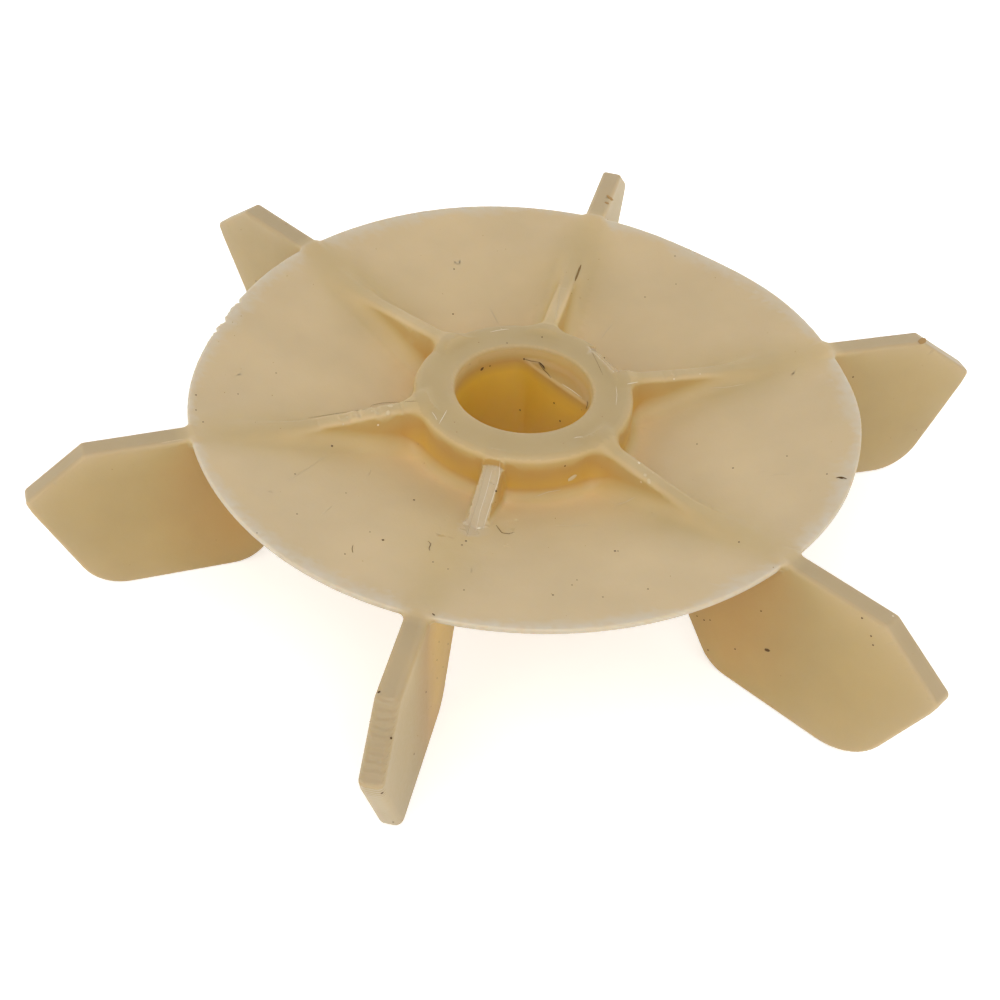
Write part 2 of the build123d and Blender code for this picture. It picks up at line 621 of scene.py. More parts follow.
    def bore(self, places: Array, radius: Array) -> Array:
        """Distance to the D-shaped space: round, with a flat on one side under its mouth.

        Args:
            places: Points in mm, one a row.
            radius: Each point's distance from the bore's axis.

        Returns:
            Signed distances, below zero inside the bore.
        """
        toward, _ = turned(places, self.flat_azimuth)
        mouth = self.hub_top - self.mouth_depth - places[:, 2]
        below_ledge = round_meet(self.flat_reach - toward, -mouth, self.ledge_edge)
        return round_meet(radius - self.bore_r, -below_ledge, self.bore_corner)

    def facet(self, places: Array, radius: Array) -> Array:
        """Distance to the wedge that a knife took off the hub's top edge.

        Args:
            places: Points in mm, one a row.
            radius: Each point's distance from the bore's axis.

        Returns:
            Signed distances, below zero inside the wedge.
        """
        slope = math.radians(self.facet_slope)
        toward, aside = turned(places, self.facet_azimuth)
        over = (places[:, 2] - self.hub_top) * math.cos(slope)
        plane = (toward - self.facet_reach) * math.sin(slope) + over
        ends = np.abs(aside) - self.facet_length / 2
        return np.maximum(-plane, np.maximum(radius - self.hub_r - self.facet_past, ends))

    def distance(self, places: Array) -> Array:
        """Signed distance to the whole moulding.

        Args:
            places: Points in mm, one a row.

        Returns:
            Distances in mm, below zero inside the plastic.
        """
        height, radius = places[:, 2], from_axis(places)
        body = self.disc_and_hub(radius, bearing(places), height)
        for index, blade in enumerate(self.blades):
            even = index * self.even_step
            for azimuth, maker, fillet in (
                (even, self.rib, blade.rib_foot),
                (even + blade.swing, self.plate, self.blade_fillet),
            ):
                out, side = turned(places, azimuth)
                near = (out > 0) & (np.abs(side) < self.blade_zone)
                part = maker(index, out[near], side[near], height[near])
                body[near] = round_union(body[near], part, fillet)
        out, side = self.rib_axes(places)
        before, after, wide = self.cut_zone
        near = (out > self.hub_r + before) & (out < self.hub_r + self.cut_length + after)
        near &= np.abs(side) < wide
        above = (height[near] - self.knife_z(out[near], side[near])) * self.cut_gentle
        cut = np.minimum(above, out[near] - self.hub_r - self.cut_gap)
        body[near] = np.maximum(body[near], cut)
        body = round_meet(body, -self.bore(places, radius), self.bore_edge)
        return np.maximum(body, -self.facet(places, radius))


# ---------------------------------------------------------------- mesh


@dataclass
class Skin:
    """The moulding's surface as a mesh, with what its material needs to know at each point."""

    form: Moulding
    step: float = 0.43
    block: int = 5
    merging: float = 0.012
    blur_mm: float = 5.6
    wide_mm: float = 14.0
    shelter_reach: float = 60.0
    shelter_step: float = 1.6
    shelter_growth: float = 1.2
    shelter_rays: int = 80
    haze_mm: float = 2.4
    haze_stop: float = 1.5
    grazing: float = 0.1
    near_mm: float = 1.2
    batches: int = 8
    band_steps: int = 3
    slope_reach: float = 0.05
    settle_rounds: int = 3

    # painted light on the disc's thin rim, paler where light comes through it: lengths in mm, the
    # noise in degrees and mm
    lit_rim_width: float = 3.2
    rim_patch: float = 9.0
    rim_speckle: tuple[float, float] = (1.3, 0.9)
    rim_starts: tuple[float, float] = (50.0, 500.0)
    rim_ragged: float = 0.7
    rim_past: float = 0.8
    rim_under: float = 1.0
    rim_bulk: tuple[float, float] = (0.27, 0.06)
    rim_noise: Ragged = field(default_factory=lambda: Ragged(23))

    # painted light round the bore and beside the hub, and depth for the painted shade in the bore
    # and under the disc
    bore_past: float = 0.3
    bore_above: float = -0.4
    ledge_depth: float = 0.5
    wall_light: float = 0.35
    wall_fade: tuple[float, float] = (1.3, 3.0)
    wall_past: float = 1.0
    foot_clear: float = 5.0
    under_clear: float = 0.5
    under_past: float = 12.0
    under_fade: float = 18.0
    bent_share: float = 1.4
    bent_zone: tuple[float, float] = (34.0, 6.0)

    # painted shade on faces outside the rim that look up, and the marks of a knife and a saw
    top_shade_fade: float = 3.0
    top_shade_facing: float = 1.4
    top_shade_side: tuple[float, float, float] = (20.0, 0.55, 0.15)
    top_shade_hub: tuple[float, float] = (0.5, 0.6)
    cut_film: float = 0.1
    saw_out: float = 91.0
    saw_down: float = -15.0
    saw_side: float = 4.0
    saw_facing: float = 0.35
    low: tuple[float, float, float] = (-112.0, -100.0, -3.0)
    high: tuple[float, float, float] = (113.0, 100.0, 42.0)

    def grid(self) -> Array:
        """Samples the distance field, finely only where the surface is near.

        Returns:
            Distances on a regular grid.
        """
        coarse, band = self.step * self.block, self.band_steps * self.step
        counts = [math.ceil((end - start) / coarse) for start, end in zip(self.low, self.high)]
        sides = [
            start + coarse * (np.arange(count) + 0.5) - self.step / 2
            for start, count in zip(self.low, counts)
        ]
        centres = np.stack(np.meshgrid(*sides, indexing="ij"), axis=-1).reshape(-1, 3)
        rough = self.form.distance(centres).reshape(counts)
        near = np.abs(rough) < coarse + self.near_mm
        values = np.sign(rough) * band
        for axis in range(3):
            values = np.repeat(values, self.block, axis=axis)
            near = np.repeat(near, self.block, axis=axis)
        cells = np.argwhere(near)
        places = np.array(self.low) + cells * self.step
        exact = np.concatenate(
            [self.form.distance(part) for part in np.array_split(places, self.batches)]
        )
        values[near] = np.clip(exact, -band, band)
        return values.astype(np.float32)

    def blurred(self, filled: Array, window: float) -> Array:
        """Spreads a grid evenly over a window, three times along each axis.

        Args:
            filled: The grid.
            window: Width of the window in mm.

        Returns:
            The smooth grid.
        """
        half = max(1, round(window / self.step / 2))
        for axis in range(3):
            length = filled.shape[axis]
            after = np.minimum(np.arange(length) + half + 1, length)
            before = np.maximum(np.arange(length) - half, 0)
            for _ in range(3):
                total = np.cumsum(filled, axis=axis, dtype=np.float64)
                none = np.zeros_like(total.take([0], axis=axis))
                total = np.concatenate([none, total], axis=axis)
                spread = total.take(after, axis=axis) - total.take(before, axis=axis)
                filled = (spread / (2 * half + 1)).astype(np.float32)
        return filled

    def bulk(self, values: Array, places: Array, window: float) -> Array:
        """How much plastic lies round each place: low at thin edges, high in thick corners.

        Args:
            values: The grid of distances.
            places: Points in mm, one a row.
            window: Width in mm of the space that counts as round a place.

        Returns:
            The share of plastic round each point.
        """
        filled = self.blurred((values < 0).astype(np.float32), window)
        at = (places - np.array(self.low)) / self.step
        corner = np.clip(np.floor(at).astype(int), 0, np.array(filled.shape) - 2)
        share = at - corner
        found = np.zeros(len(places))
        for offset in np.ndindex(2, 2, 2):
            weight = np.prod(np.where(np.array(offset), share, 1 - share), axis=1)
            found += weight * filled[tuple((corner + np.array(offset)).T)]
        return found

    def shelter(self, values: Array, places: Array, normals: Array) -> Array:
        """How closed in each place is: 0 in the open, towards 1 deep in the bore.

        Args:
            values: The grid of distances.
            places: Points in mm, one a row.
            normals: Outward direction at each point.

        Returns:
            The share of what each point faces that is plastic nearby.
        """
        haze = self.blurred((values < 0).astype(np.float32), self.haze_mm)
        top = np.array(haze.shape) - 1
        start = (places + normals * self.haze_mm - np.array(self.low)) / self.step
        hidden, total = np.zeros(len(places)), np.zeros(len(places))
        growth = self.shelter_growth
        count = math.ceil(math.log(self.shelter_reach / self.shelter_step) / math.log(growth))
        reaches = self.shelter_step * growth ** np.arange(count)
        for index in range(self.shelter_rays):
            rise = 1 - (2 * index + 1) / self.shelter_rays
            turn = math.pi * (1 + math.sqrt(5)) * index
            flat = math.sqrt(1 - rise * rise)
            ray = np.array([flat * math.cos(turn), flat * math.sin(turn), rise])
            facing = normals @ ray
            ahead = np.flatnonzero(facing > self.grazing)
            total[ahead] += facing[ahead]
            passed = np.zeros(len(ahead))
            for reach in reaches:
                cell = (start[ahead] + ray * reach / self.step).round().astype(int)
                inside = ((cell >= 0) & (cell <= top)).all(axis=1)
                passed[inside] += haze[tuple(cell[inside].T)] * reach * (growth - 1)
            hidden[ahead] += facing[ahead] * (1 - np.exp(-passed / self.haze_stop))
        return hidden / np.maximum(total, TINY)

    def lit_rim(self, places: Array, bulk: Array) -> Array:
        """How much painted light pales the disc's thin rim: 1 at its edge, 0 a few millimetres in.

        Args:
            places: Points in mm, one a row.
            bulk: The share of plastic round each point.

        Returns:
            The painted light at each point, none where a blade makes the rim thick.
        """
        form = self.form
        radius, azimuth = from_axis(places), bearing(places)
        edge = form.rim_radius(azimuth)
        noise, (patch_start, speckle_start) = self.rim_noise, self.rim_starts
        patches = noise.height(azimuth / self.rim_patch + patch_start, radius * 0)
        wide = self.lit_rim_width * (0.5 + patches)
        around, across = self.rim_speckle
        ragged = noise.height(azimuth * around + speckle_start, radius * across) - 0.5
        share = np.clip(1 - (edge - radius) / wide + ragged * self.rim_ragged, 0, 1)
        share *= radius < edge + self.rim_past
        share *= places[:, 2] > form.rim_z - form.rim_t - self.rim_under
        most, fade = self.rim_bulk
        return share * np.clip((most - bulk) / fade, 0, 1)

    def bore_depth(self, places: Array, normals: Array) -> Array:
        """How deep in the bore each place is, for the painted shade that tints the bore amber.

        Args:
            places: Points in mm, one a row.
            normals: Outward direction at each point.

        Returns:
            Under 0 above the ledge, 1 well below it, and 0 outside the bore.
        """
        form = self.form
        inside = from_axis(places) < form.bore_r + self.bore_past
        depth = (form.hub_top - form.mouth_depth - places[:, 2]) / form.mouth_depth
        below = places[:, 2] < form.hub_top - form.bore_edge
        level = np.clip(normals[:, 2], 0, 1)
        wall = np.clip(depth, self.bore_above, 1) * (1 - level)
        # faces that look up in the bore get a set share of the painted shade
        return np.where(inside & below, wall + self.ledge_depth * level, 0)

    def lit_through(self, places: Array, upright: Array, shelter: Array) -> Array:
        """Where light comes through the plastic: beside the hub and on the bore's upper wall.

        Args:
            places: Points in mm, one a row.
            upright: 1 on an upright face, 0 on a level one.
            shelter: How closed in each point is.

        Returns:
            The share of light that comes through at each point.
        """
        form = self.form
        in_bore = from_axis(places) < form.bore_r + self.bore_past
        depth = (form.hub_top - places[:, 2]) / (form.mouth_depth + self.wall_past)
        end, start = self.wall_fade
        wall = self.wall_light * upright * np.clip(end - depth, 0, 1) * np.clip(depth * start, 0, 1)
        beside = (1 - upright) * shelter * (places[:, 2] > form.hub_bottom + self.foot_clear)
        return np.where(in_bore, wall, beside)

    def under_rim(self, places: Array) -> Array:
        """How far under the disc a place lies, for the painted shade under it.

        Args:
            places: Points in mm, one a row.

        Returns:
            0 out on the blades, 1 well inside the rim, and more than that on the bent blade.
        """
        form = self.form
        radius = from_axis(places)
        below = places[:, 2] < form.under_z(np.minimum(radius, form.disc_r)) + self.under_clear
        share = np.clip((form.disc_r + self.under_past - radius) / self.under_fade, 0, 1)
        return np.where(below, share * (1 + self.bent_share * self.on_bent(places)), 0)

    def bent_axes(self, places: Array) -> tuple[Array, Array]:
        """Measures points along the bent blade.

        Args:
            places: Points in mm, one a row.

        Returns:
            Distance along its radius, and sideways from its middle.
        """
        blade = self.form.blades[self.form.cut_rib]
        out, side = turned(places, self.form.even_step * self.form.cut_rib + blade.swing)
        return out, side - blade.shift

    def on_bent(self, places: Array) -> Array:
        """Which places lie on the bent blade.

        Args:
            places: Points in mm, one a row.

        Returns:
            1 on the blade, 0 elsewhere.
        """
        out, side = self.bent_axes(places)
        start, wide = self.bent_zone
        return ((out > start) & (np.abs(side) < wide)).astype(float)

    def painted_top_shade(self, places: Array, normals: Array) -> Array:
        """How much painted shade darkens the faces outside the rim that look up.

        Args:
            places: Points in mm, one a row.
            normals: Outward direction at each point.

        Returns:
            1 on the blades' top edges, less on the hub's top and the bent blade's sides.
        """
        form, radius = self.form, from_axis(places)
        outside = np.clip((radius - form.disc_r) / self.top_shade_fade, 0, 1)
        run, gain, least = self.top_shade_side
        low = np.clip((form.rim_z - places[:, 2]) / run, 0, 1) * gain + least
        facing = np.clip(normals[:, 2] * self.top_shade_facing, 0, 1)
        share, film = self.top_shade_hub
        on_hub = share * (places[:, 2] > form.hub_top - film) * (radius < form.hub_r)
        return np.maximum(outside * np.maximum(facing, low * self.on_bent(places)), on_hub)

    def knife_cut(self, places: Array) -> Array:
        """Where a knife left a fresh face.

        Args:
            places: Points in mm, one a row.

        Returns:
            1 on the cut rib and the hub's facet, 0 elsewhere.
        """
        form = self.form
        out, side = form.rib_axes(places)
        over = np.abs(places[:, 2] - form.knife_z(out, side)) - self.cut_film
        off_rib = np.maximum(form.cut_edges(out, side), over)
        off_rib = np.maximum(off_rib, form.hub_r + form.cut_gap - out)
        off_hub = np.abs(form.facet(places, from_axis(places))) - self.cut_film
        return np.clip(0.5 - np.minimum(off_rib, off_hub) / self.step, 0, 1)

    def sawn(self, places: Array, normals: Array) -> Array:
        """Where saw marks show.

        Args:
            places: Points in mm, one a row.
            normals: Outward direction at each point.

        Returns:
            1 on the sloping shoulder of the bent blade, 0 elsewhere.
        """
        out, side = self.bent_axes(places)
        swing = self.form.blades[self.form.cut_rib].swing
        facing, _ = turned(normals, self.form.even_step * self.form.cut_rib + swing)
        level = places[:, 2] - self.form.rim_z
        near = (out > self.saw_out) & (level > self.saw_down) & (np.abs(side) < self.saw_side)
        return (near & (facing > self.saw_facing)).astype(float)

    def slope(self, places: Array) -> Array:
        """Direction in which the distance grows.

        Args:
            places: Points in mm, one a row.

        Returns:
            The surface's outward normal at each point.
        """
        moves = np.eye(3) * self.slope_reach
        field_at = self.form.distance
        rise = [field_at(places + move) - field_at(places - move) for move in moves]
        normal = np.stack(rise, axis=1)
        return normal / np.maximum(np.linalg.norm(normal, axis=1, keepdims=True), TINY)

    def settled(self, places: Array) -> tuple[Array, Array]:
        """Moves points onto the exact surface.

        Args:
            places: Points near the surface in mm.

        Returns:
            The moved points and their normals.
        """
        for _ in range(self.settle_rounds):
            normal = self.slope(places)
            off = np.clip(self.form.distance(places), -self.step / 2, self.step / 2)
            places = places - off[:, None] * normal
        return places, self.slope(places)

    def build(self) -> Piece:
        """Makes the finished mesh object.

        Returns:
            The object, at the origin and in metres.
        """
        values = self.grid()
        volume = openvdb.FloatGrid(self.band_steps * self.step)
        volume.copyFromArray(values)
        corners, triangles, quads = volume.convertToPolygons(isovalue=0.0, adaptivity=self.merging)
        places = np.array(self.low) + np.asarray(corners, dtype=float) * self.step
        LOG.info("skin sampled: %d points, %d quads", len(places), len(quads))
        mesh = bpy.data.meshes.new("impeller_skin")
        faces = np.asarray(quads).tolist() + np.asarray(triangles).tolist()
        mesh.from_pydata(places.tolist(), [], faces)
        piece = add_object("impeller_skin", mesh)
        flat = np.empty(3 * len(mesh.vertices), dtype=np.float32)
        mesh.vertices.foreach_get("co", flat)
        places, normals = self.settled(flat.reshape(-1, 3).astype(float))
        bulk = self.bulk(values, places, self.blur_mm)
        upright = 1 - np.abs(normals[:, 2])
        shelter = self.shelter(values, places, normals)
        for name, share in (
            ("bulk", bulk),
            ("wide", self.bulk(values, places, self.wide_mm)),
            # upright, closed_in, under_rim and bore_depth drive painted shade in the material's
            # amber, and lit_through painted light
            ("upright", upright),
            ("closed_in", upright * shelter),
            ("lit_through", self.lit_through(places, upright, shelter)),
            ("under_rim", upright * self.under_rim(places)),
            ("bore_depth", self.bore_depth(places, normals)),
            ("painted_top_shade", self.painted_top_shade(places, normals)),
            ("lit_rim", self.lit_rim(places, bulk)),
            ("cut", self.knife_cut(places)),
            ("sawn", self.sawn(places, normals)),
        ):
            layer = mesh.attributes.new(name, "FLOAT", "POINT")
            layer.data.foreach_set("value", share.astype(np.float32))
        mesh.vertices.foreach_set("co", (places * MM).astype(np.float32).ravel())
        mesh.shade_smooth()
        mesh.normals_split_custom_set_from_vertices(normals.tolist())
        mesh.update()
        return piece


# ---------------------------------------------------------------- materials


def linear(code: str) -> tuple[float, float, float, float]:
    """Turns an sRGB hex colour into the linear numbers that shaders take.

    Args:
        code: Six hex digits after a hash.

    Returns:
        Linear red, green, blue and an alpha of 1.
    """
    parts = [int(code[i : i + 2], 16) / 255 for i in (1, 3, 5)]
    red, green, blue = (p / 12.92 if p <= 0.04045 else ((p + 0.055) / 1.055) ** 2.4 for p in parts)
    return red, green, blue, 1.0


MATH = "ShaderNodeMath"
MIX = "ShaderNodeMix"
MAP_RANGE = "ShaderNodeMapRange"
MULTIPLY = {"operation": "MULTIPLY"}
NAMED_ATTRIBUTE = "GeometryNodeInputNamedAttribute"
WAVE_BAND = 0.314  # length of one band of the wave texture at a scale of 1


def add_node(tree: Tree, kind: str, settings: dict | None = None, links: dict | None = None) -> Any:
    """Adds a node with its settings, its values and its links.

    Args:
        tree: The tree that takes the node.
        kind: The node's type name.
        settings: Properties of the node by name.
        links: For each input, its value or the output socket that feeds it.

    Returns:
        The new node.
    """
    node = tree.nodes.new(kind)
    for name, value in (settings or {}).items():
        setattr(node, name, value)
    for name, value in (links or {}).items():
        if isinstance(value, Socket):
            tree.links.new(value, node.inputs[name])
        else:
            node.inputs[name].default_value = value
    return node


def start_material(name: str) -> tuple[bpy.types.Material, Tree]:
    """Starts a material.

    Args:
        name: What it is and how it was made.

    Returns:
        The material and its empty node tree.
    """
    material = bpy.data.materials.new(name)
    material.use_nodes = True
    material.node_tree.nodes.clear()
    return material, material.node_tree


@dataclass(frozen=True)
class Trace:
    """What lies on the plastic in small amounts: grit, a stain, a raised burr, lint, a painted
    reflection, a painted shade line or a painted highlight.

    Dry grit, lint and old stains are matt, so they only darken the skin, and so is a painted shade
    line. A burr is satin like the moulding, and so is a painted reflection; a painted highlight is
    smooth and pale and glows a little.
    """

    name: str
    colour: str
    roughness: float
    glow: float = 0.0
    ior: float = 1.5

    def build(self) -> bpy.types.Material:
        """Makes the material.

        Returns:
            The material, a surface whose roughness tells grit from a glossy painted highlight.
        """
        material, tree = start_material(self.name)
        surface = add_node(
            tree,
            "ShaderNodeBsdfPrincipled",
            links={
                "Base Color": linear(self.colour),
                "Roughness": self.roughness,
                "IOR": self.ior,
                "Emission Color": linear(self.colour),
                "Emission Strength": self.glow,
            },
        )
        add_node(tree, "ShaderNodeOutputMaterial", links={"Surface": surface.outputs["BSDF"]})
        return material


@dataclass(frozen=True)
class CastPolyamide:
    """Natural polyamide 6, cast in a mould: cream and cloudy, satin, and amber where it is thick.

    Light goes a millimetre or so into it, which softens every shadow, and comes back yellower the
    more plastic it has passed. Where a knife went through, the face is paler and glossy. Its colour
    also holds painted shade and glow: amber on upright faces, in hollows, deep in the bore and
    under the disc, and darker on faces that look up outside the rim. It holds painted light too:
    paler beside the hub, on the bore's upper wall and on the thin rim.
    """

    # thin, plain and thick are the plastic's own tones; rich and deep are reached mostly through
    # painted shade and glow in hollows, deep in the bore and under the disc
    thin: str = "#c8b188"
    plain: str = "#c0a878"
    thick: str = "#b99f67"
    rich: str = "#bd9652"
    deep: str = "#e4bb48"
    fresh_cut: str = "#c6b394"
    rim_light_tint: str = "#c9bda7"
    roughness: float = 0.46
    unevenness: tuple[float, float] = (-0.06, 0.08)
    cut_roughness: float = 0.16
    ior: float = 1.53
    subsurface: float = 1.0
    scatter_mm: float = 1.2
    scatter_rgb: tuple[float, float, float] = (1.0, 0.8, 0.55)
    mottle_mm: float = 22.0
    mottle_span: tuple[float, float] = (0.3, 0.7)
    mottle_shade: tuple[float, float] = (0.93, 1.05)
    grain_mm: float = 0.9
    grain_bump: tuple[float, float] = (0.12, 0.25)  # strength, and depth in mm
    saw_mm: float = 1.0
    saw_bump: tuple[float, float] = (0.5, 0.4)
    saw_waver: float = 2.5

    # how much each of the skin's attributes adds to the amber, and what changes its brightness:
    # thick plastic is amber of itself, while the amber on upright faces, in hollows, deep in the
    # bore and under the disc is painted shade and glow; the brightening where light comes through
    # is painted light, and the darkening of faces that look up is painted shade
    gains: tuple[tuple[str, float], ...] = (
        ("bulk", 0.45),
        ("wide", 0.55),
        ("upright", 0.06),
        ("closed_in", 0.46),
        ("bore_depth", 0.45),
        ("under_rim", 0.22),
        ("lit_through", -0.5),
    )
    shades: tuple[tuple[str, float], ...] = (("lit_through", 0.7), ("painted_top_shade", -0.19))
    ramp: tuple[float, ...] = (0.15, 0.27, 0.42, 0.72, 1.22)

    def read(self, tree: Tree, name: str) -> Socket:
        """A socket that gives one of the skin's attributes."""
        return add_node(tree, "ShaderNodeAttribute", {"attribute_name": name}).outputs["Fac"]

    def tint(self, tree: Tree, mottle: Socket) -> Socket:
        """Adds the nodes for the colour.

        Args:
            tree: The material's tree.
            mottle: Socket with the cloudy pattern.

        Returns:
            The socket with the colour.
        """
        amber: Any = 0.0
        for name, gain in self.gains:
            links = {0: self.read(tree, name), 1: gain, 2: amber}
            amber = add_node(tree, MATH, {"operation": "MULTIPLY_ADD"}, links).outputs[0]
        scale = 1 / self.ramp[-1]
        amber = add_node(tree, MATH, MULTIPLY, {0: amber, 1: scale}).outputs[0]
        depth = add_node(tree, "ShaderNodeValToRGB", links={"Fac": amber})
        ramp = depth.color_ramp
        ramp.elements[0].position, ramp.elements[0].color = self.ramp[0] * scale, linear(self.thin)
        ramp.elements[1].position, ramp.elements[1].color = 1.0, linear(self.deep)
        for position, code in zip(self.ramp[1:4], (self.plain, self.thick, self.rich)):
            ramp.elements.new(position * scale).color = linear(code)
        links = dict(zip(("From Min", "From Max"), self.mottle_span))
        links |= dict(zip(("To Min", "To Max"), self.mottle_shade))
        shade = add_node(tree, MAP_RANGE, links={"Value": mottle, **links}).outputs["Result"]
        for name, gain in self.shades:
            links = {0: self.read(tree, name), 1: gain, 2: 1.0}
            factor = add_node(tree, MATH, {"operation": "MULTIPLY_ADD"}, links).outputs[0]
            shade = add_node(tree, MATH, MULTIPLY, {0: shade, 1: factor}).outputs[0]
        links = {"Vector": depth.outputs["Color"], "Scale": shade}
        colour = add_node(tree, "ShaderNodeVectorMath", {"operation": "SCALE"}, links).outputs[0]
        # the rim is paled with painted light; the knife's face has its own fresh colour
        for name, code in (("lit_rim", self.rim_light_tint), ("cut", self.fresh_cut)):
            links = {"Factor": self.read(tree, name), 6: colour, 7: linear(code)}
            colour = add_node(tree, MIX, {"data_type": "RGBA"}, links).outputs[2]
        return colour

    def build(self) -> bpy.types.Material:
        """Makes the material.

        Returns:
            The material, whose colour follows how much plastic lies under the skin.
        """
        material, tree = start_material("natural_polyamide_6_cast")
        place = add_node(tree, "ShaderNodeTexCoord").outputs["Object"]
        mottle, grain = (
            add_node(
                tree,
                "ShaderNodeTexNoise",
                links={"Vector": place, "Scale": 1 / (size * MM), "Detail": detail},
            ).outputs["Fac"]
            for size, detail in ((self.mottle_mm, 3.0), (self.grain_mm, 4.0))
        )
        least, most = (self.roughness + change for change in self.unevenness)
        links = {"Value": grain, "To Min": least, "To Max": most}
        worn = add_node(tree, MAP_RANGE, links=links).outputs["Result"]
        links = {0: self.read(tree, "cut"), 2: worn, 3: self.cut_roughness}
        gloss = add_node(tree, MIX, {"data_type": "FLOAT"}, links).outputs[0]
        stripes = add_node(
            tree,
            "ShaderNodeTexWave",
            {"bands_direction": "Z"},
            {
                "Vector": place,
                "Scale": WAVE_BAND / (self.saw_mm * MM),
                "Distortion": self.saw_waver,
                "Detail": 2.0,
            },
        ).outputs["Fac"]
        saw = add_node(tree, MATH, MULTIPLY, {0: stripes, 1: self.read(tree, "sawn")}).outputs[0]
        bump: dict[str, Socket] = {}
        for height, (strength, depth) in ((grain, self.grain_bump), (saw, self.saw_bump)):
            links = {"Height": height, "Strength": strength, "Distance": depth * MM, **bump}
            bump = {"Normal": add_node(tree, "ShaderNodeBump", links=links).outputs["Normal"]}
        skin = add_node(
            tree,
            "ShaderNodeBsdfPrincipled",
            links={
                "Base Color": self.tint(tree, mottle),
                "Roughness": gloss,
                "IOR": self.ior,
                "Subsurface Weight": self.subsurface,
                "Subsurface Radius": self.scatter_rgb,
                "Subsurface Scale": self.scatter_mm * MM,
                **bump,
            },
        )
        add_node(tree, "ShaderNodeOutputMaterial", links={"Surface": skin.outputs["BSDF"]})
        return material


# ---------------------------------------------------------------- studio


@dataclass
class Studio:
    """Camera, floor and soft light. Lengths in mm, angles in degrees."""

    eye: tuple[float, float, float] = (-88.3, -245.8, 240.2)
    aim: tuple[float, float, float] = (-12.8, -27.0, 30.0)
    roll: float = -4.37
    clip: tuple[float, float] = (0.01, 100.0)  # in metres
    lens: float = 54.85
    sensor: float = 36.0
    floor_size: float = 6000.0
    floor_colour: str = "#f2f2f0"
    floor_lift: float = 0.5
    horizon_level: float = 1.6
    zenith_level: float = 0.4
    softbox_mm: float = 900.0
    softbox_at: tuple[float, float, float] = (-250.0, -600.0, 750.0)
    softbox_w: float = 3.0

    def pose(self) -> tuple[Vector, Quaternion]:
        """Works out where the camera stands.

        Returns:
            Its place in metres and its turn.
        """
        eye = Vector(self.eye) * MM
        look = (Vector(self.aim) * MM - eye).to_track_quat("-Z", "Y")
        return eye, look @ Quaternion((0, 0, 1), math.radians(-self.roll))

    def camera(self) -> None:
        """Places the camera and makes it the scene's."""
        data = bpy.data.cameras.new("camera")
        data.lens, data.sensor_width = self.lens, self.sensor
        data.clip_start, data.clip_end = self.clip
        camera = add_object("camera", data)
        camera.rotation_mode = "QUATERNION"
        camera.location, camera.rotation_quaternion = self.pose()
        bpy.context.scene.camera = camera

    def floor(self) -> None:
        """Lays a white floor that still takes the object's shadow."""
        half = self.floor_size / 2 * MM
        mesh = bpy.data.meshes.new("floor")
        corners = [(-half, -half, 0), (half, -half, 0), (half, half, 0), (-half, half, 0)]
        mesh.from_pydata(corners, [], [(0, 1, 2, 3)])
        material, tree = start_material("white_floor")
        matt = add_node(tree, "ShaderNodeBsdfDiffuse", links={"Color": linear(self.floor_colour)})
        lift = add_node(tree, MATH, MULTIPLY, {0: self.seen_directly(tree), 1: self.floor_lift})
        links = {"Color": (1, 1, 1, 1), "Strength": lift.outputs[0]}
        glow = add_node(tree, "ShaderNodeEmission", links=links)
        both = add_node(tree, "ShaderNodeAddShader", links={0: matt.outputs[0], 1: glow.outputs[0]})
        add_node(tree, "ShaderNodeOutputMaterial", links={"Surface": both.outputs[0]})
        mesh.materials.append(material)
        add_object("floor", mesh)

    @staticmethod
    def seen_directly(tree: Tree) -> Socket:
        """Tells what the camera sees itself, in a reflection or through glass.

        Args:
            tree: The tree that takes the nodes.

        Returns:
            A socket that is 1 for such rays and 0 for light.
        """
        path = add_node(tree, "ShaderNodeLightPath").outputs
        seen = path["Is Camera Ray"]
        for ray in ("Is Glossy Ray", "Is Transmission Ray"):
            both = {0: seen, 1: path[ray]}
            seen = add_node(tree, MATH, {"operation": "MAXIMUM"}, both).outputs[0]
        return seen

    def light(self) -> None:
        """Lights the scene evenly from all round, with one large softbox above."""
        world = bpy.data.worlds.new("studio")
        bpy.context.scene.world = world
        world.use_nodes = True
        tree = world.node_tree
        tree.nodes.clear()
        way = add_node(tree, "ShaderNodeTexCoord").outputs["Generated"]
        height = add_node(tree, "ShaderNodeSeparateXYZ", links={0: way}).outputs["Z"]
        links = {"Value": height, "To Min": self.horizon_level, "To Max": self.zenith_level}
        level = add_node(tree, MAP_RANGE, links=links).outputs["Result"]
        links = {0: self.seen_directly(tree), 2: level, 3: 1.0}
        seen = add_node(tree, MIX, {"data_type": "FLOAT"}, links).outputs[0]
        links = {"Color": (1, 1, 1, 1), "Strength": seen}
        sky = add_node(tree, "ShaderNodeBackground", links=links)
        add_node(tree, "ShaderNodeOutputWorld", links={"Surface": sky.outputs[0]})
        data = bpy.data.lights.new("softbox", "AREA")
        data.shape, data.size, data.energy = "SQUARE", self.softbox_mm * MM, self.softbox_w
        lamp = add_object("softbox", data)
        lamp.location = Vector(self.softbox_at) * MM
        lamp.rotation_mode = "QUATERNION"
        lamp.rotation_quaternion = (-lamp.location).to_track_quat("-Z", "Y")


# ---------------------------------------------------------------- marks on the skin


